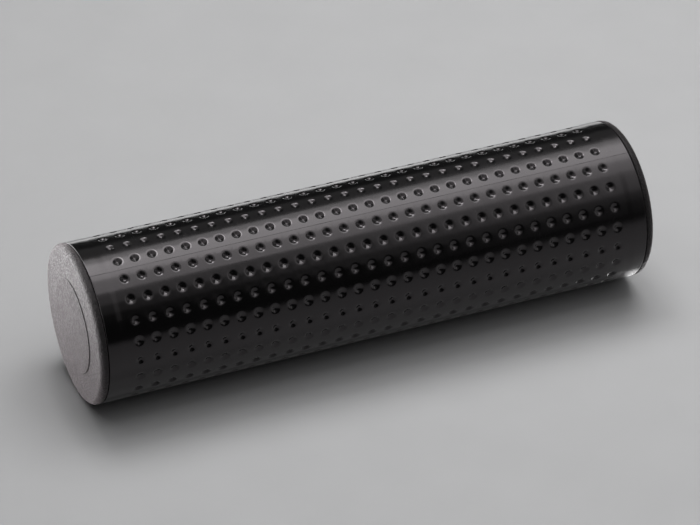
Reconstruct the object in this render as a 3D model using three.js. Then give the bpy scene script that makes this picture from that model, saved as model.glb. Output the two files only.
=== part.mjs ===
// A hand-held tube shaker: a pressed sheet-metal tube covered in dimples, a moulded cap
// plugged into each end, and steel shot loose inside. It lies on its side along +X, with
// the lowest line of the tube on z = 0 and its middle over the origin. Millimetres, +Z up.
import * as THREE from "three";
import { mergeVertices } from "three/addons/utils/BufferGeometryUtils.js";

// Tube
const TUBE_RADIUS = 28.5;
const TUBE_LENGTH = 202.4;
const TUBE_WALL = 1.5;
const TUBE_EDGE_BREAK = 0.3; // small chamfer round each end of the outer wall

// Dimples pressed into the tube, in straight rows along it
const ROWS_ROUND_TUBE = 24;
const DIMPLE_PITCH = 6.2; // from one dimple to the next along a row
const DIMPLE_MOUTH_RADIUS = 1.8;
const DIMPLE_FLOOR = 0.85; // metal left under the deepest point of a dimple
const PLAIN_COLLAR = 11.2; // least distance from a tube end to the first dimple's centre

// End caps
const JOINT_GAP = 0.3; // between the tube's end and the cap's flange
const FLANGE_THICKNESS = 2.8;
const FLANGE_EDGE_RADIUS = 2.0; // rounding between the cap's face and its rim
const PAD_RADIUS = 17; // raised disc in the middle of the cap's face
const PAD_HEIGHT = 0.3;
const SPIGOT_CLEARANCE = 0.3; // between the spigot and the tube's bore
const SPIGOT_LENGTH = 9;
const SPIGOT_WALL = 2;
const SPIGOT_LEAD_IN = 0.8; // chamfer that guides the spigot into the bore
const CAP_SIDES = 32;
const EDGE_STEPS = 3; // straight steps in the rounded edge of the flange

// Steel shot
const SHOT_RADIUS = 2.5;
const SHOT_CLEARANCE = 0.3; // from the bore below, and from one lane to the next
const SHOT_STATIONS = 16; // balls along each lane

const boreRadius = TUBE_RADIUS - TUBE_WALL;
const rowTurn = (2 * Math.PI) / ROWS_ROUND_TUBE;
const dimplesPerRow = Math.floor((TUBE_LENGTH - 2 * PLAIN_COLLAR) / DIMPLE_PITCH) + 1;

const blackTube = new THREE.MeshStandardMaterial({ color: 0x101012, roughness: 0.35, metalness: 0.5 });
const blackCap = new THREE.MeshStandardMaterial({ color: 0x1b1a1b, roughness: 0.75, metalness: 0 });
const steelShot = new THREE.MeshStandardMaterial({ color: 0xb4b4b2, roughness: 0.25, metalness: 1 });

// A closed skin, put together from points and from triangles that face outwards.
class Skin {
  points = [];
  faces = [];

  // A point by its place along the tube, its distance from the axis and its turn from the top.
  point(x, radius, turn) {
    this.points.push(x, radius * Math.sin(turn), radius * Math.cos(turn));
    return this.points.length / 3 - 1;
  }

  // A flat fan over a polygon of points, counter-clockwise as seen from outside.
  fan(...corners) {
    for (let k = 2; k < corners.length; k++) {
      this.faces.push(corners[0], corners[k - 1], corners[k]);
    }
  }

  // The band between two rings of equally many points.
  band(from, to) {
    from.forEach((corner, k) => {
      const next = (k + 1) % from.length;
      this.fan(corner, to[k], to[next], from[next]);
    });
  }

  geometry() {
    const made = new THREE.BufferGeometry();
    made.setAttribute("position", new THREE.Float32BufferAttribute(this.points, 3));
    made.setIndex(this.faces);
    made.computeVertexNormals();
    return made;
  }
}

// The tube's outer wall carries the dimples. Each dimple is a six-sided cone whose mouth
// lies on the cylinder, with two of its points on the row's own line, so that the lands
// between dimples stay on the cylinder too. The lands meet halfway between the rows.
function dimpledTube() {
  const skin = new Skin();
  const patternLength = dimplesPerRow * DIMPLE_PITCH;
  const patternStart = -patternLength / 2;
  const patternEnd = patternLength / 2;
  const bottomRadius = boreRadius + DIMPLE_FLOOR;

  const rows = Array.from({ length: ROWS_ROUND_TUBE }, (_, j) => j);
  const columns = Array.from({ length: dimplesPerRow }, (_, i) => i);
  const wrapped = (j) => (j + ROWS_ROUND_TUBE) % ROWS_ROUND_TUBE;

  // Corners of the lands: one more than there are dimples along a row.
  const corners = [...columns, dimplesPerRow].map((i) =>
    rows.map((j) => skin.point(patternStart + i * DIMPLE_PITCH, TUBE_RADIUS, (j + 0.5) * rowTurn)),
  );

  function dimple(i, j) {
    const x = patternStart + (i + 0.5) * DIMPLE_PITCH;
    const turn = j * rowTurn;
    const mouth = Array.from({ length: 6 }, (_, k) => {
      const way = (k * Math.PI) / 3;
      const along = DIMPLE_MOUTH_RADIUS * Math.cos(way);
      const round = DIMPLE_MOUTH_RADIUS * Math.sin(way);
      return skin.point(x + along, TUBE_RADIUS, turn + round / TUBE_RADIUS);
    });
    const bottom = skin.point(x, bottomRadius, turn);
    mouth.forEach((corner, k) => skin.fan(bottom, corner, mouth[(k + 1) % 6]));

    const [east, northEast, northWest, west, southWest, southEast] = mouth;
    const above = corners[i][j];
    const aboveNext = corners[i + 1][j];
    const below = corners[i][wrapped(j - 1)];
    const belowNext = corners[i + 1][wrapped(j - 1)];
    skin.fan(aboveNext, northEast, east);
    skin.fan(northEast, aboveNext, above, northWest);
    skin.fan(above, west, northWest);
    skin.fan(below, southWest, west);
    skin.fan(southWest, below, belowNext, southEast);
    skin.fan(belowNext, east, southEast);
    return { east, west };
  }

  const endRing = (x, radius) => {
    const ring = [];
    for (const j of rows) {
      ring.push(skin.point(x, radius, j * rowTurn), skin.point(x, radius, (j + 0.5) * rowTurn));
    }
    return ring;
  };
  const patternRing = (x, cornerRow) =>
    rows.flatMap((j) => [skin.point(x, TUBE_RADIUS, j * rowTurn), cornerRow[j]]);
  const firstRing = patternRing(patternStart, corners[0]);
  const lastRing = patternRing(patternEnd, corners[dimplesPerRow]);

  for (const j of rows) {
    let land = firstRing[2 * j]; // the point before the next dimple on this row's line
    for (const i of columns) {
      const { east, west } = dimple(i, j);
      skin.fan(land, corners[i][wrapped(j - 1)], west);
      skin.fan(land, west, corners[i][j]);
      land = east;
    }
    const end = lastRing[2 * j];
    skin.fan(land, corners[dimplesPerRow][wrapped(j - 1)], end);
    skin.fan(land, end, corners[dimplesPerRow][j]);
  }

  // The rest is turned: collars, broken edges, end faces and the smooth bore.
  const endX = TUBE_LENGTH / 2;
  const brokenX = endX - TUBE_EDGE_BREAK;
  const brokenRadius = TUBE_RADIUS - TUBE_EDGE_BREAK;
  const rings = [
    lastRing,
    endRing(brokenX, TUBE_RADIUS),
    endRing(endX, brokenRadius),
    endRing(endX, boreRadius),
    endRing(-endX, boreRadius),
    endRing(-endX, brokenRadius),
    endRing(-brokenX, TUBE_RADIUS),
    firstRing,
  ];
  for (let k = 1; k < rings.length; k++) {
    skin.band(rings[k - 1], rings[k]);
  }
  return skin.geometry();
}

// One cap, turned about Y: the flange stands on y = 0 and faces +Y, and the hollow spigot
// goes down from it into the tube. The raised disc on its face is bare.
function endCap() {
  const spigotRadius = boreRadius - SPIGOT_CLEARANCE;
  const spigotBore = spigotRadius - SPIGOT_WALL;
  const faceRadius = TUBE_RADIUS - FLANGE_EDGE_RADIUS;
  const edgeBase = FLANGE_THICKNESS - FLANGE_EDGE_RADIUS;
  const edge = Array.from({ length: EDGE_STEPS + 1 }, (_, k) => {
    const turn = (k / EDGE_STEPS) * (Math.PI / 2);
    return [
      faceRadius + FLANGE_EDGE_RADIUS * Math.cos(turn),
      edgeBase + FLANGE_EDGE_RADIUS * Math.sin(turn),
    ];
  });
  const profile = [
    [0, 0],
    [spigotBore, 0],
    [spigotBore, -SPIGOT_LENGTH],
    [spigotRadius - SPIGOT_LEAD_IN, -SPIGOT_LENGTH],
    [spigotRadius, SPIGOT_LEAD_IN - SPIGOT_LENGTH],
    [spigotRadius, 0],
    [TUBE_RADIUS, 0],
    ...edge,
    [PAD_RADIUS, FLANGE_THICKNESS],
    [PAD_RADIUS, FLANGE_THICKNESS + PAD_HEIGHT],
    [0, FLANGE_THICKNESS + PAD_HEIGHT],
  ];
  return turned(profile, CAP_SIDES);
}

// A lathe shape with its seam and its two poles welded, so that it is one closed skin.
function turned(profile, sides) {
  const lathe = new THREE.LatheGeometry(profile.map(([r, y]) => new THREE.Vector2(r, y)), sides);
  lathe.deleteAttribute("normal");
  lathe.deleteAttribute("uv");
  const welded = mergeVertices(lathe, 1e-4);
  const index = welded.index.array;
  const kept = [];
  for (let k = 0; k < index.length; k += 3) {
    const [a, b, c] = [index[k], index[k + 1], index[k + 2]];
    if (a !== b && b !== c && a !== c) kept.push(a, b, c);
  }
  welded.setIndex(kept);
  welded.computeVertexNormals();
  return welded;
}

const shaker = new THREE.Group();
shaker.position.z = TUBE_RADIUS;

function add(name, geometry, material) {
  const mesh = new THREE.Mesh(geometry, material);
  mesh.name = name;
  shaker.add(mesh);
  return mesh;
}

add("dimpled_tube", dimpledTube(), blackTube);

// The caps face away from each other, each one gap clear of its end of the tube.
for (const [name, side] of [["left_end_cap", -1], ["right_end_cap", 1]]) {
  const cap = add(name, endCap(), blackCap);
  cap.rotation.z = (-side * Math.PI) / 2;
  cap.position.x = side * (TUBE_LENGTH / 2 + JOINT_GAP);
}

// The shot lies along the lowest line of the bore in three lanes, each lane one clearance
// from the next, with the outer lanes half a step along from the middle one.
const laneRadius = boreRadius - SHOT_CLEARANCE - SHOT_RADIUS;
const laneTurn = 2 * Math.asin((2 * SHOT_RADIUS + SHOT_CLEARANCE) / (2 * laneRadius));
const chamberLength = TUBE_LENGTH - 2 * SPIGOT_LENGTH + 2 * JOINT_GAP;
const stationPitch = chamberLength / (SHOT_STATIONS + 0.5);
for (const [lane, side] of [["front", -1], ["middle", 0], ["back", 1]]) {
  const turn = side * laneTurn;
  const firstStep = side === 0 ? 0.5 : 1;
  for (let k = 0; k < SHOT_STATIONS; k++) {
    const name = `shot_${lane}_${String(k + 1).padStart(2, "0")}`;
    const ball = add(name, new THREE.OctahedronGeometry(SHOT_RADIUS, 1), steelShot);
    ball.position.set(
      (k + firstStep) * stationPitch - chamberLength / 2,
      laneRadius * Math.sin(turn),
      -laneRadius * Math.cos(turn),
    );
  }
}

const part = new THREE.Group();
part.add(shaker);

export default part;
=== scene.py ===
# %% [markdown]
# A hand-held tube shaker. A black sheet-metal tube, pressed all over with small round
# dimples, is closed at each end by a moulded cap, and loose steel shot rattles inside.
# The engineering model fixes every size and place. This file dresses it: it rebuilds
# each piece as a finer mesh in the same place and gives it the finish of the real one.

# %% Load the frame that everything is fitted to
import math

import bpy
from mathutils import Matrix, Vector


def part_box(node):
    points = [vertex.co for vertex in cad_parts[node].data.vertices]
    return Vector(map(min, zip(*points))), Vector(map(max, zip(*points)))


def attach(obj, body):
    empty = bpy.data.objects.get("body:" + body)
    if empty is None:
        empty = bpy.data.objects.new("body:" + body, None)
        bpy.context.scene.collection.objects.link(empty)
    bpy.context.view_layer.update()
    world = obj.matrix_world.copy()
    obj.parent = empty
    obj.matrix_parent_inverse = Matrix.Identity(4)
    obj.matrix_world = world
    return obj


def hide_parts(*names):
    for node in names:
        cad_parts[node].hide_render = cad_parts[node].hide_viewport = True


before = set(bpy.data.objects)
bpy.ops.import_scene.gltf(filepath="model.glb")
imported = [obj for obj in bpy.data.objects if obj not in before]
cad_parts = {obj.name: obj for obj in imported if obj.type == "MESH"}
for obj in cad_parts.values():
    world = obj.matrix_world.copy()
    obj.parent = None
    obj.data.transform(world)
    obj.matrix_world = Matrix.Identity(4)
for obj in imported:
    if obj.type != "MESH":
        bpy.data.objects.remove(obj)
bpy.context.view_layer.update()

tube_low, tube_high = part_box("dimpled_tube")
cap_low, cap_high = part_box("right_end_cap")
MM = 0.001
tube_radius = (tube_high.z - tube_low.z) / 2
tube_end = tube_high.x
face_x = cap_high.x
axis_height = (tube_high.z + tube_low.z) / 2
print("tube radius", round(tube_radius / MM, 2), "mm, end at", round(tube_end / MM, 2), "mm")

# %% [markdown]
# The camera. The photograph was taken with a long lens from above and to the left, so the
# two ends of the tube come out almost the same size. Its place could be found by eye, but
# the rows of dimples make a ruler and a protractor in one: fitting the known grid to the
# picture gives the bearing, the height angle, the distance and the focal length together.

# %% Camera at the photograph's viewing angle
CAMERA_AZIMUTH = math.radians(-22.59)
CAMERA_ELEVATION = math.radians(34.38)
CAMERA_DISTANCE = 1.423
CAMERA_LENS_MM = 207.6
CAMERA_SENSOR_MM = 36.0
AIM_OFF_AXIS = 1.03 * MM  # the tube's middle sits this far right of and above the picture's

backwards = Vector((
    math.sin(CAMERA_AZIMUTH) * math.cos(CAMERA_ELEVATION),
    -math.cos(CAMERA_AZIMUTH) * math.cos(CAMERA_ELEVATION),
    math.sin(CAMERA_ELEVATION),
))
rightwards = Vector((math.cos(CAMERA_AZIMUTH), math.sin(CAMERA_AZIMUTH), 0))
upwards = backwards.cross(rightwards)
tube_middle = Vector((0, 0, axis_height))
aim = tube_middle - AIM_OFF_AXIS * (rightwards + upwards)

camera_data = bpy.data.cameras.new("camera")
camera_data.lens = CAMERA_LENS_MM
camera_data.sensor_width = CAMERA_SENSOR_MM
camera_data.clip_start = 0.05
camera = bpy.data.objects.new("camera", camera_data)
bpy.context.scene.collection.objects.link(camera)
camera.location = aim + CAMERA_DISTANCE * backwards
camera.rotation_mode = "QUATERNION"
camera.rotation_quaternion = (-backwards).to_track_quat("-Z", "Y")
bpy.context.scene.camera = camera
print("camera at", [round(c, 3) for c in camera.location])

# %% [markdown]
# The studio. A glossy black cylinder shows nothing but reflections: what the eye reads as
# its shape is a pattern of long bands, each the mirror image of a lamp or of the floor. So
# the lamps are placed by working backwards. A band of the tube whose surface is turned by
# some angle mirrors the part of the room at twice that angle, less the camera's own, and
# each soft box below is given as the stretch of sky that it fills, seen from the tube. Its
# power follows from the brightness that its reflection should have. The photograph has no
# floor at all, and light comes from below too, so a few lamps stand under the floor here.

# %% Floor, room and soft boxes
FLOOR_HALF = 6.0


def link(name, data):
    made = bpy.data.objects.new(name, data)
    bpy.context.scene.collection.objects.link(made)
    return made


def soft_box(name, centre, target, size, radiance, along=(1, 0, 0)):
    """A rectangular lamp that faces target, with its first side along the given way."""
    away = (Vector(centre) - Vector(target)).normalized()
    upper = away.cross(Vector(along)).normalized()
    data = bpy.data.lights.new(name, "AREA")
    data.shape = "RECTANGLE"
    data.size, data.size_y = size
    data.energy = radiance * math.pi * size[0] * size[1]
    lamp = link(name, data)
    lamp.location = centre
    lamp.rotation_mode = "QUATERNION"
    sides = Matrix((upper.cross(away), upper, away)).transposed()
    lamp.rotation_quaternion = sides.to_quaternion()
    lamp.visible_camera = False
    return lamp


def sky_band(name, turns, slopes, radiance, distance=0.9):
    """A soft box along the tube that fills a stretch of the sky, as seen from the tube.

    Turns are its edges round the tube, in degrees from overhead, positive towards the camera.
    Slopes are its ends along the tube: how far to the right they are for each metre away.
    """
    middle, half = (math.radians((turns[1] + sign * turns[0]) / 2) for sign in (1, -1))
    way = Vector((0, -math.sin(middle), math.cos(middle)))
    above = tube_middle + Vector((distance * (slopes[0] + slopes[1]) / 2, 0, 0))
    size = (distance * (slopes[1] - slopes[0]), 2 * distance * math.tan(half))
    return soft_box(name, above + distance * way, above, size, radiance)


floor_mesh = bpy.data.meshes.new("floor")
floor_mesh.from_pydata(
    [(x * FLOOR_HALF, y * FLOOR_HALF, 0) for x, y in ((-1, -1), (1, -1), (1, 1), (-1, 1))],
    [],
    [(0, 1, 2, 3)],
)
floor = link("floor", floor_mesh)

sky_band("overhead_wide", (-38, 20), (0.0, 0.75), 2.0)
sky_band("overhead_core", (-28, 0), (0.0, 0.75), 2.1)
sky_band("overhead_key", (-34, -12), (-0.15, 0.08), 9.0)
sky_band("left_wing", (-38, 20), (-0.7, 0.0), 0.9)
sky_band("right_wing", (-38, 30), (0.75, 4.0), 0.25, distance=0.4)
sky_band("front_wing", (18, 50), (-0.5, 0.9), 0.15)
sky_band("front_wing_left", (18, 37), (-0.5, 0.3), 0.36)
sky_band("front_wing_right", (18, 37), (0.3, 0.9), 0.12)
sky_band("front_haze", (18, 62), (0.31, 0.9), 0.24, distance=3.0)
sky_band("right_haze", (22, 48), (0.34, 0.9), 0.23, distance=3.0)
sky_band("collar_haze", (22, 50), (0.42, 0.9), 0.35, distance=3.0)
sky_band("low_haze", (62, 80), (0.37, 0.9), 0.11, distance=3.0)
sky_band("back_fill", (-64, -38), (-1.0, 1.6), 0.17)
soft_box(
    "right_front",
    tube_middle + 0.9 * Vector((0.87, -0.38, 0.28)),
    tube_middle,
    (0.45, 0.5),
    0.6,
    along=(0.4, 0.9, 0),
)

# These stand lower than the floor, which neither blocks them nor is lit by them.
end_face = Vector((-face_x, 0, axis_height))
mirrored = Vector((backwards.x, -backwards.y, -backwards.z))
low_lamps = [
    sky_band("under_back", (-103, -93.5), (-0.8, 1.5), 1.15),
    sky_band("under_front", (150, 192), (-0.3, 1.0), 0.09, distance=0.3),
    sky_band("under_keel", (192, 222), (-0.3, 1.0), 0.035, distance=0.3),
    soft_box(
        "under_left_end",
        end_face + 0.2 * mirrored + Vector((0, -0.12, 0.13)),
        end_face,
        (0.20, 0.13),
        6.6,
        along=(0, 1, 0),
    ),
    soft_box(
        "under_right_end",
        Vector((0.146, 0.015, -0.045)),
        Vector((0.100, -0.021, 0.009)),
        (0.04, 0.06),
        2.0,
    ),
]
all_but_floor = bpy.data.collections.new("all_but_floor")
all_but_floor.objects.link(floor)
all_but_floor.collection_objects[0].light_linking.link_state = "EXCLUDE"
for lamp in low_lamps:
    lamp.light_linking.blocker_collection = all_but_floor
    lamp.light_linking.receiver_collection = all_but_floor

world = bpy.data.worlds.new("studio")
bpy.context.scene.world = world
world.use_nodes = True
world.node_tree.nodes["Background"].inputs["Color"].default_value = (0.95, 0.97, 1.0, 1)
world.node_tree.nodes["Background"].inputs["Strength"].default_value = 0.03
bpy.context.scene.view_settings.view_transform = "Standard"

# %% [markdown]
# Materials are made of nodes, and nodes are tiresome to wire by hand. Here one output of a
# node is wrapped in a small class whose operators add Math nodes, so that a shader can be
# written like a sum on paper. Everything else goes through one method that makes any node.

# %% Shader arithmetic
class Wire:
    """An output socket that can be added, multiplied and compared like a number."""

    def __init__(self, socket):
        self.socket = socket

    def math(self, operation, *terms):
        node = self.socket.id_data.nodes.new("ShaderNodeMath")
        node.operation = operation
        for slot, term in zip(node.inputs, terms):
            plug(slot, term)
        return Wire(node.outputs[0])

    def __add__(self, other):
        return self.math("ADD", self, other)

    __radd__ = __add__

    def __sub__(self, other):
        return self.math("SUBTRACT", self, other)

    def __rsub__(self, other):
        return self.math("SUBTRACT", other, self)

    def __mul__(self, other):
        return self.math("MULTIPLY", self, other)

    __rmul__ = __mul__

    def __truediv__(self, other):
        return self.math("DIVIDE", self, other)

    def __rtruediv__(self, other):
        return self.math("DIVIDE", other, self)

    def __pow__(self, other):
        return self.math("POWER", self, other)

    def __rpow__(self, other):
        return self.math("POWER", other, self)

    def clamped(self, low=0.0, high=1.0):
        return self.math("MINIMUM", self.math("MAXIMUM", self, low), high)

    def band(self, start, end):
        """0 below start and 1 above end, with a straight run between them."""
        return ((self - start) / (end - start)).clamped()


def plug(slot, value):
    """Puts a wire or a plain value into an input."""
    if isinstance(value, Wire):
        slot.id_data.links.new(value.socket, slot)
    else:
        slot.default_value = value


class Finish:
    """A material under construction, with its Principled shader."""

    def __init__(self, name):
        self.material = bpy.data.materials.new(name)
        self.material.use_nodes = True
        self.tree = self.material.node_tree
        self.shader = self.tree.nodes["Principled BSDF"]

    def node(self, kind, settings=None, inputs=None, output=0):
        made = self.tree.nodes.new(kind)
        for key, value in (settings or {}).items():
            setattr(made, key, value)
        for key, value in (inputs or {}).items():
            plug(made.inputs[key], value)
        return Wire(made.outputs[output])

    def place(self):
        """The point on the piece, in metres, as three wires."""
        point = self.node("ShaderNodeTexCoord", output=3)
        return [self.node("ShaderNodeSeparateXYZ", {}, {0: point}, k) for k in range(3)]

    def point(self, x, y, z):
        return self.node("ShaderNodeCombineXYZ", {}, {0: x, 1: y, 2: z})

    def noise(self, at, scale, detail=2.0, roughness=0.5):
        return self.node(
            "ShaderNodeTexNoise",
            {},
            {"Vector": at, "Scale": scale, "Detail": detail, "Roughness": roughness},
        )

    def colours(self, share, first, second):
        return self.node(
            "ShaderNodeMix",
            {"data_type": "RGBA"},
            {0: share, 6: (*first, 1), 7: (*second, 1)},
            2,
        )

    def bump(self, height, distance, before=None):
        inputs = {"Height": height, "Distance": distance, "Strength": 1.0}
        if before is not None:
            inputs["Normal"] = before
        return self.node("ShaderNodeBump", {}, inputs)

    def done(self, **sockets):
        for name, value in sockets.items():
            plug(self.shader.inputs[name.replace("_", " ")], value)
        print("finish", self.material.name, "with", len(self.tree.nodes), "nodes")
        return self.material


# %% [markdown]
# The tube's finish is a thin, hard, satin-black coat on sheet metal. It is nearly a mirror,
# so a single roughness would look like plastic. The real one has three faint layers: broad
# smudges where it has been handled, a slight waviness of the coat, and hair-fine scratches
# that run round the tube, from turning in the hand, and along it. Straight scratches come
# from noise squeezed hard in one direction, once in each direction. The right-hand half is
# a shade duller than the left, as if that is where it was held.

# %% Black coat of the tube
def black_coat():
    coat = Finish("black_coat")
    x, y, z = coat.place()
    turn = (z - axis_height).math("ARCTAN2", y, z - axis_height)
    arc = turn * tube_radius

    smudge = coat.noise(coat.point(x, arc, 0.0), 28.0, 3.0)
    ripple = coat.noise(coat.point(x, arc, 0.0), 420.0, 2.0)
    round_scratch = coat.noise(coat.point(x * 40.0, arc, 0.0), 160.0, 3.0, 0.65)
    long_scratch = coat.noise(coat.point(x, arc * 45.0, 0.0), 130.0, 3.0, 0.65)
    scratch = round_scratch.band(0.62, 0.72) + 0.7 * long_scratch.band(0.63, 0.72)
    patches = coat.noise(coat.point(x, arc, 1.0), 60.0, 2.0).band(0.45, 0.65)
    worn = (scratch * patches).clamped()

    held_here = (x / tube_end).band(0.0, 0.9)

    tone = coat.colours(worn * 0.5, (0.0012, 0.0012, 0.0012), (0.02, 0.019, 0.02))
    waves = coat.bump(ripple, 0.006 * MM)
    normal = coat.bump(1.0 - worn, 0.003 * MM, before=waves)
    return coat.done(
        Base_Color=tone,
        Roughness=0.13 + 0.06 * smudge.band(0.35, 0.7) + 0.16 * worn + 0.04 * held_here,
        Specular_Tint=(1.0, 0.93, 0.965, 1.0),
        Normal=normal,
    )


tube_finish = black_coat()

# %% [markdown]
# The caps are moulded in black plastic whose mould was spark-eroded, which leaves a fine
# sandy grain all over. Seen against the light it turns pale grey, while the rim stays black.
# The grain is noise at two sizes, about half a millimetre and one millimetre, used as a
# bump, with a third one in the roughness and in the colour, and a broad cloud in the colour
# alone. The round pad in the middle of the face is a shade duller than the ring round it.

# %% Grained moulding of the caps
PAD_RADIUS = 17.0 * MM  # of the round pad in the middle of each cap's face


def grained_moulding():
    plastic = Finish("grained_moulding")
    x, y, z = plastic.place()
    at = plastic.point(x, y, z)
    grain = plastic.noise(at, 2200.0, 3.0, 0.6)
    coarse = plastic.noise(at, 1200.0, 2.0)
    speckle = plastic.noise(at, 1000.0, 2.0)
    cloud = plastic.noise(at, 60.0, 2.0)
    height = z - axis_height
    from_axis = (y * y + height * height) ** 0.5
    pad = 1.0 - from_axis.band(0.985 * PAD_RADIUS, PAD_RADIUS)

    tone = plastic.colours(
        (speckle.band(0.35, 0.7) * 0.8 + cloud * 0.2).clamped(),
        (0.004, 0.004, 0.004),
        (0.014, 0.013, 0.0135),
    )
    fine = plastic.bump(grain, 0.2 * MM)
    normal = plastic.bump(coarse, 0.3 * MM, before=fine)
    return plastic.done(
        Base_Color=tone,
        Roughness=0.30 + 0.32 * speckle.band(0.4, 0.6) + 0.12 * pad,
        Specular_IOR_Level=0.2,
        Specular_Tint=(1.0, 0.93, 0.955, 1.0),
        Sheen_Weight=0.15,
        Sheen_Roughness=0.45,
        Sheen_Tint=(1.0, 0.87, 0.91, 1.0),
        Normal=normal,
    )


cap_finish = grained_moulding()

# %% [markdown]
# The shot is cast steel, polished only by knocking about inside the tube: bright, with
# small dull dents. Nobody sees it until the shaker is taken apart, but it is still metal
# with a history, so the dents go into both the roughness and the bump.

# %% Bright shot
def bright_shot():
    steel = Finish("bright_shot")
    x, y, z = steel.place()
    at = steel.point(x, y, z)
    dents = steel.noise(at, 1300.0, 2.0).band(0.5, 0.7)
    return steel.done(
        Base_Color=steel.colours(dents, (0.60, 0.60, 0.59), (0.42, 0.42, 0.41)),
        Roughness=0.2 + 0.25 * dents,
        Metallic=1.0,
        Normal=steel.bump(1.0 - dents, 0.02 * MM),
    )


shot_finish = bright_shot()

# %% [markdown]
# The floor is a plain pale board, only there to catch the shadow.

# %% Pale floor
def pale_board():
    board = Finish("pale_board")
    x, y, z = board.place()
    fibre = board.noise(board.point(x, y, z), 35.0, 4.0)
    return board.done(
        Base_Color=board.colours(fibre, (0.43, 0.43, 0.435), (0.47, 0.47, 0.475)),
        Roughness=0.65,
    )


floor_mesh.materials.append(pale_board())

# %% [markdown]
# Every piece of the shaker stands in for one node of the engineering model: it takes the
# node's place and rides on the same body.

# %% Putting a piece in place
def piece(name, points, faces, finish, node, body, at=(0, 0, 0)):
    mesh = bpy.data.meshes.new(name)
    mesh.from_pydata(points, [], faces)
    mesh.validate()
    mesh.materials.append(finish)
    mesh.shade_smooth()
    made = link(name, mesh)
    made.location = at
    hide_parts(node)
    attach(made, body)
    print(name, len(points), "points", len(faces), "faces")
    return made


# %% [markdown]
# The dimples. The tube was rolled from a strip that had been pressed with punches while it
# was flat: 24 rows round and 30 dimples along, none staggered. A bump map would fake them
# from afar, but they notch the outline and each one holds its own small reflection, so they
# are modelled, as the punches left them: straight walls, a round bottom and a soft lip.
# A grid that is fine enough everywhere would be huge, so each dimple gets a square cell of
# its own whose mesh is a spider's web: rings round the dimple, stretched at the edge to the
# cell's corners, where it meets its neighbours point for point.

# %% The shape of one dimple
ROWS = 24
COLUMNS = 30
PITCH = 6.2 * MM
ROW_TURN = 2 * math.pi / ROWS
SIDE_STEPS = 4  # edges along each side of a cell
SPOKES = 4 * SIDE_STEPS
QUARTERS_ROUND = ROWS * SIDE_STEPS
DIMPLE_RINGS = [r * MM for r in (0.3, 0.65, 1.05, 1.4, 1.68, 1.95, 2.35)]
DIMPLE_MOUTH = 1.62 * MM  # where the bowl's wall would meet the tube's surface
DIMPLE_SLOPE = 0.77  # of the bowl's straight wall
DIMPLE_TIP = 0.75 * MM  # how far out the round bottom gives way to the wall
DIMPLE_LIP = 0.12 * MM  # how softly the sheet rolls over the edge
PATTERN_END = COLUMNS * PITCH / 2
COLLAR_RISE = 0.08 * MM  # the plain collars stand this much above the pressed zone
COLLAR_START = tube_end - 6.3 * MM
COLLAR_RUN = 1.3 * MM


def dimple_depth(reach):
    """A cone with a round tip, whose lip rolls over into the sheet."""
    bowl = DIMPLE_SLOPE * (math.hypot(DIMPLE_MOUTH, DIMPLE_TIP) - math.hypot(reach, DIMPLE_TIP))
    return DIMPLE_LIP * math.log1p(math.exp(bowl / DIMPLE_LIP))


def skin_radius(x):
    """The tube's radius between dimples: the collars were left unpressed and stand proud."""
    share = min(1.0, max(0.0, (abs(x) - COLLAR_START) / COLLAR_RUN))
    return tube_radius - COLLAR_RISE * (1 - share * share * (3 - 2 * share))


def on_tube(x, radius, turn):
    """A point by its place along the tube, its radius, and its turn from the top."""
    return (x, radius * math.sin(turn), axis_height + radius * math.cos(turn))


print(ROWS * COLUMNS, "dimples,", round(dimple_depth(0) / MM, 2), "mm deep")

# %% [markdown]
# The seam. Where the rolled strip closes, its two edges meet in a hair-fine butt joint,
# halfway between two rows of dimples. It is clear on the plain collars and comes and goes
# between them, where the press has squeezed it shut. It is a groove a sixth of a
# millimetre wide, so the two rows of cells beside it give up that much of their width.

# %% The groove at the seam
SEAM_ROW = 22  # the seam runs between this row and the next, counted from the top backwards
SEAM_HALF_WIDTH = 0.08 * MM
SEAM_DEPTH = 0.12 * MM
SEAM_SECTION = ((-0.5, 0.75), (0.0, 1.0), (0.5, 0.75))  # shares of half width and of depth
SEAM_QUARTER = SEAM_ROW * SIDE_STEPS + SIDE_STEPS // 2  # its turn, counted in quarter cells
seam_turn = (SEAM_ROW + 0.5) * ROW_TURN
seam_half_turn = SEAM_HALF_WIDTH / tube_radius


def seam_depth(x):
    """Deep on the collars, and faint with a few open places in the pressed zone."""
    collar = min(1.0, max(0.0, (abs(x) - PATTERN_END) / PITCH))
    # Three waves of unlike lengths, so that the open places come at odd distances.
    waves = math.sin(700 * x + 1) + math.sin(437 * x + 2) + math.sin(191 * x + 4)
    open_place = min(1.0, max(0.0, waves - 0.9))
    return SEAM_DEPTH * (0.3 + 0.7 * max(0.6 * collar, open_place))


print("seam depth on a collar", round(seam_depth(tube_end) / MM, 3), "mm")

# %% [markdown]
# The skin of the tube. Dimples, groove, collars and bore are one sheet of metal, so here
# they are one mesh. Cutting the dimples out of a cylinder with booleans would be slow and
# would leave ragged shading. Instead a small class lays the points down in order. Each
# cell asks for the points on its border by their place and gets the same ones as its
# neighbour, so that the sheet closes by itself.

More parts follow.
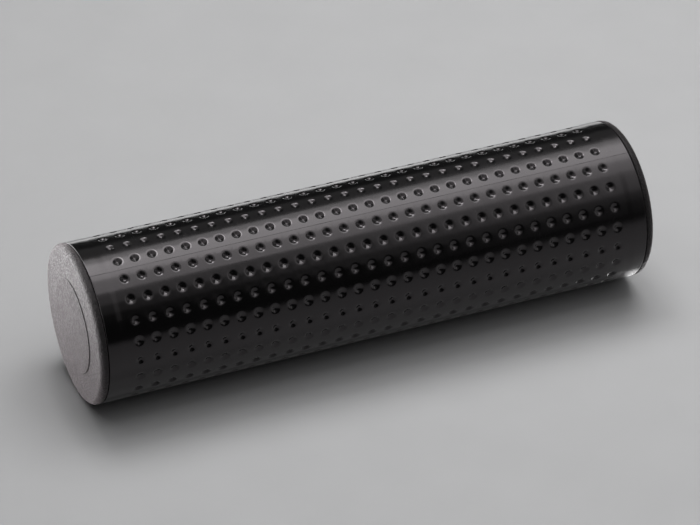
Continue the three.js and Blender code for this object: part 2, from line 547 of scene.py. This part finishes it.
# %% The tube's skin, cell by cell
class TubeSkin:
    """Collects the tube's points and faces; cells share the points on their borders."""

    def __init__(self):
        self.points = []
        self.faces = []
        self.border = {}
        self.creases = set()

    def add(self, x, radius, turn):
        self.points.append(on_tube(x, radius, turn))
        return len(self.points) - 1

    def border_point(self, step, quarter, past_seam=False):
        """A point on the cells' borders, counted in quarter cells along and round."""
        quarter %= QUARTERS_ROUND
        at_seam = quarter == SEAM_QUARTER
        key = (step, quarter, at_seam and past_seam)
        if key not in self.border:
            x = step * PITCH / SIDE_STEPS - PATTERN_END
            turn = quarter * ROW_TURN / SIDE_STEPS
            if at_seam:
                turn += seam_half_turn if past_seam else -seam_half_turn
            self.border[key] = self.add(x, skin_radius(x), turn)
        return self.border[key]

    def cell(self, column, row):
        """The web of one dimple, from the bottom outwards to the cell's border."""
        x = (column + 0.5) * PITCH - PATTERN_END
        turn = row * ROW_TURN
        radius = skin_radius(x)
        bottom = self.add(x, radius - dimple_depth(0), turn)
        ring = None
        for reach in DIMPLE_RINGS:
            depth = dimple_depth(reach)
            outer = []
            for k in range(SPOKES):
                way = 2 * math.pi * k / SPOKES
                round_it = reach * math.sin(way) / tube_radius
                outer.append(self.add(x + reach * math.cos(way), radius - depth, turn + round_it))
            self.web(bottom, ring, outer)
            ring = outer
        # Once round the border from the middle of its right side, in quarter cells.
        half = SIDE_STEPS // 2
        steps = [half] * half + list(range(half, -half, -1)) + [-half] * SIDE_STEPS
        steps += list(range(-half, half)) + [half] * half
        border = []
        for k in range(SPOKES):
            along = column * SIDE_STEPS + half + steps[k]
            quarter = row * SIDE_STEPS + steps[(k - SIDE_STEPS) % SPOKES]
            border.append(self.border_point(along, quarter, past_seam=row != SEAM_ROW))
        self.web(bottom, ring, border)

    def web(self, bottom, inner, outer):
        for k in range(SPOKES):
            after = (k + 1) % SPOKES
            if inner is None:
                self.faces.append((bottom, outer[k], outer[after]))
            else:
                self.faces.append((inner[k], outer[k], outer[after], inner[after]))

    def seam_points(self, x, radius):
        depth = seam_depth(x)
        return [
            self.add(x, radius - share * depth, seam_turn + place * seam_half_turn)
            for place, share in SEAM_SECTION
        ]

    def ring(self, x, radius):
        """A whole ring of points, with the groove's, in the order of border_ring."""
        made = []
        for quarter in range(QUARTERS_ROUND):
            turn = quarter * ROW_TURN / SIDE_STEPS
            if quarter == SEAM_QUARTER:
                made.append(self.add(x, radius, turn - seam_half_turn))
                made += self.seam_points(x, radius)
                made.append(self.add(x, radius, turn + seam_half_turn))
            else:
                made.append(self.add(x, radius, turn))
        return made

    def border_ring(self, step, groove):
        made = []
        for quarter in range(QUARTERS_ROUND):
            made.append(self.border_point(step, quarter))
            if quarter == SEAM_QUARTER:
                made += groove
                made.append(self.border_point(step, quarter, past_seam=True))
        return made

    def strip(self, near, far):
        """Faces between two open rows of points."""
        for k in range(len(near) - 1):
            self.faces.append((near[k], far[k], far[k + 1], near[k + 1]))

    def band(self, near, far):
        self.strip([*near, near[0]], [*far, far[0]])

    def crease(self, rings, place):
        """Keeps the shading from running over the edges along one place in a row of rings."""
        chain = [ring[place] for ring in rings]
        self.creases.update(frozenset(pair) for pair in zip(chain, chain[1:]))


# %% [markdown]
# The ends of the tube. Past the last dimples the sheet goes on in whole rings: over the
# plain collar, round the end, back through the bore and out at the other end, so the wall
# has its real thickness. A painted edge is never sharp, and its small round catches a line
# of light. A plain cylinder with a bevel would do that too, but its rings wouldn't meet the
# points of the cells.

# %% Dimples, groove, collars and bore put together
TUBE_WALL = 1.5 * MM
EDGE_ROUND = 0.2 * MM
EDGE_STEPS = 3
EDGE_MARGIN = 0.06 * MM  # a ring this close to the round keeps its shading off the collar
COLLAR_RINGS = 8


def rounded_edge(centre_x, centre_radius, start, end):
    """Places (x, radius) along a quarter round, at angles counted from the axis direction."""
    turns = [start + (end - start) * k / EDGE_STEPS for k in range(EDGE_STEPS + 1)]
    return [
        (centre_x + EDGE_ROUND * math.cos(t), centre_radius + EDGE_ROUND * math.sin(t))
        for t in turns
    ]


def tube_skin():
    skin = TubeSkin()
    for row in range(ROWS):
        for column in range(COLUMNS):
            skin.cell(column, row)

    last_step = COLUMNS * SIDE_STEPS
    grooves = []
    for step in range(last_step + 1):
        x = step * PITCH / SIDE_STEPS - PATTERN_END
        grooves.append(skin.seam_points(x, skin_radius(x)))
    rows = [
        [
            skin.border_point(step, SEAM_QUARTER),
            *grooves[step],
            skin.border_point(step, SEAM_QUARTER, past_seam=True),
        ]
        for step in range(last_step + 1)
    ]
    for near, far in zip(rows, rows[1:]):
        skin.strip(near, far)
    skin.crease(rows, 0)
    skin.crease(rows, -1)

    quarter_turn = math.pi / 2
    collar_end = tube_end - EDGE_ROUND
    collar = [
        PATTERN_END + (collar_end - PATTERN_END) * k / COLLAR_RINGS
        for k in range(1, COLLAR_RINGS)
    ]
    outline = [(x, skin_radius(x)) for x in (*collar, collar_end - EDGE_MARGIN)]
    outline += rounded_edge(collar_end, tube_radius - EDGE_ROUND, quarter_turn, 0)
    bore = tube_radius - TUBE_WALL
    outline += rounded_edge(collar_end, bore + EDGE_ROUND, 0, -quarter_turn)

    right = [skin.ring(x, radius) for x, radius in outline]
    left = [skin.ring(-x, radius) for x, radius in outline]
    loop = [skin.border_ring(last_step, grooves[-1]), *right, *left[::-1]]
    loop.append(skin.border_ring(0, grooves[0]))
    for near, far in zip(loop, loop[1:]):
        skin.band(near, far)
    skin.crease(loop, SEAM_QUARTER)
    skin.crease(loop, SEAM_QUARTER + len(SEAM_SECTION) + 1)
    tube = piece(
        "pressed_tube", skin.points, skin.faces, tube_finish, "dimpled_tube", "shell"
    )
    for edge in tube.data.edges:
        edge.use_edge_sharp = frozenset(edge.vertices) in skin.creases
    return tube


tube_skin()

# %% [markdown]
# The caps are turned shapes, so each is one outline spun round the axis. What sells them is
# the edge: a real moulding has no sharp corner anywhere, and the two-millimetre round at
# the rim is what catches the thin line of light. A flat round pad stands a third of a
# millimetre proud of the face, and is bare.

# %% End caps
CAP_SIDES = 144
RIM_ROUND = 2.0 * MM
RIM_STEPS = 8
PAD_HEIGHT = 0.3 * MM
FLANGE_GAP = 0.3 * MM  # between the tube's end and the cap's flange
PAD_ROUND = 0.08 * MM
SPIGOT_CLEARANCE = 0.3 * MM
SPIGOT_WALL = 2.0 * MM
SPIGOT_ROUND = 0.6 * MM
BACK_ROUND = 0.2 * MM


def corner(radius, x, size, start, end, steps=4):
    """Places (radius, x) on a rounded corner about (radius, x), from one angle to another."""
    turns = [math.radians(start + (end - start) * k / steps) for k in range(steps + 1)]
    return [(radius + size * math.cos(t), x + size * math.sin(t)) for t in turns]


def cap_outline():
    """Radius and x along the right-hand cap's section, from the inside round to the face."""
    flange_x = tube_end + FLANGE_GAP
    spigot_x = cap_low.x
    outer = tube_radius - TUBE_WALL - SPIGOT_CLEARANCE
    inner = outer - SPIGOT_WALL
    rim_x = face_x - PAD_HEIGHT
    return [
        (0, flange_x),
        *corner(inner - SPIGOT_ROUND, flange_x - SPIGOT_ROUND, SPIGOT_ROUND, 90, 0),
        *corner(inner + BACK_ROUND, spigot_x + BACK_ROUND, BACK_ROUND, 180, 270),
        *corner(outer - SPIGOT_ROUND, spigot_x + SPIGOT_ROUND, SPIGOT_ROUND, 270, 360),
        (outer, flange_x),
        *corner(tube_radius - BACK_ROUND, flange_x + BACK_ROUND, BACK_ROUND, 270, 360),
        *corner(tube_radius - RIM_ROUND, rim_x - RIM_ROUND, RIM_ROUND, 0, 90, RIM_STEPS),
        *corner(PAD_RADIUS + PAD_ROUND, rim_x + PAD_ROUND, PAD_ROUND, 270, 180),
        *corner(PAD_RADIUS - PAD_ROUND, face_x - PAD_ROUND, PAD_ROUND, 0, 90),
        (0, face_x),
    ]


def end_cap(name, node, side):
    """Spins the section round the tube's axis; side is 1 for the right end, -1 for the left."""
    outline = cap_outline()
    points = []
    rings = []
    for radius, x in outline:
        if radius == 0:
            points.append((side * x, 0, axis_height))
            rings.append([len(points) - 1] * CAP_SIDES)
            continue
        rings.append(list(range(len(points), len(points) + CAP_SIDES)))
        for k in range(CAP_SIDES):
            points.append(on_tube(side * x, radius, side * 2 * math.pi * k / CAP_SIDES))
    faces = []
    for near, far in zip(rings, rings[1:]):
        for k in range(CAP_SIDES):
            after = (k + 1) % CAP_SIDES
            # On the axis two corners are the same point, which is then kept once.
            face = dict.fromkeys((near[k], near[after], far[after], far[k]))
            faces.append(tuple(face))
    return piece(name, points, faces, cap_finish, node, "shell")


end_cap("left_cap_moulding", "left_end_cap", -1)
end_cap("right_cap_moulding", "right_end_cap", 1)

# %% [markdown]
# The shot. Each ball is cast, so it isn't a perfect sphere: it keeps a faint flattening
# and a few shallow waves, which differ from one ball of a lane to the next.

# %% Steel shot
BALL_RINGS = 12
BALL_SIDES = 20
BALL_WAVE = 0.012  # the waves take off up to twice this share of the radius


def cast_ball(radius, seed):
    points = [(0, 0, radius)]
    for ring in range(1, BALL_RINGS):
        lean = math.pi * ring / BALL_RINGS
        for k in range(BALL_SIDES):
            way = 2 * math.pi * k / BALL_SIDES
            wave = 1 - BALL_WAVE * (1 + math.sin(3 * way + seed) * math.sin(2 * lean + seed))
            across = wave * radius * math.sin(lean)
            height = radius * math.cos(lean)
            points.append((across * math.cos(way), across * math.sin(way), height))
    points.append((0, 0, -radius))
    last = len(points) - 1
    first_of = [1 + BALL_SIDES * ring for ring in range(BALL_RINGS - 1)]
    faces = []
    for k in range(BALL_SIDES):
        after = (k + 1) % BALL_SIDES
        faces.append((0, 1 + k, 1 + after))
        faces.append((last, first_of[-1] + after, first_of[-1] + k))
        for near, far in zip(first_of, first_of[1:]):
            faces.append((near + k, far + k, far + after, near + after))
    return points, faces


for node in sorted(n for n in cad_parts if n.startswith("shot_")):
    low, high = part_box(node)
    points, faces = cast_ball((high.z - low.z) / 2, seed=int(node[-2:]))
    name = node.replace("shot", "ball")
    place = (low + high) / 2
    piece(name, points, faces, shot_finish, node, node, place)
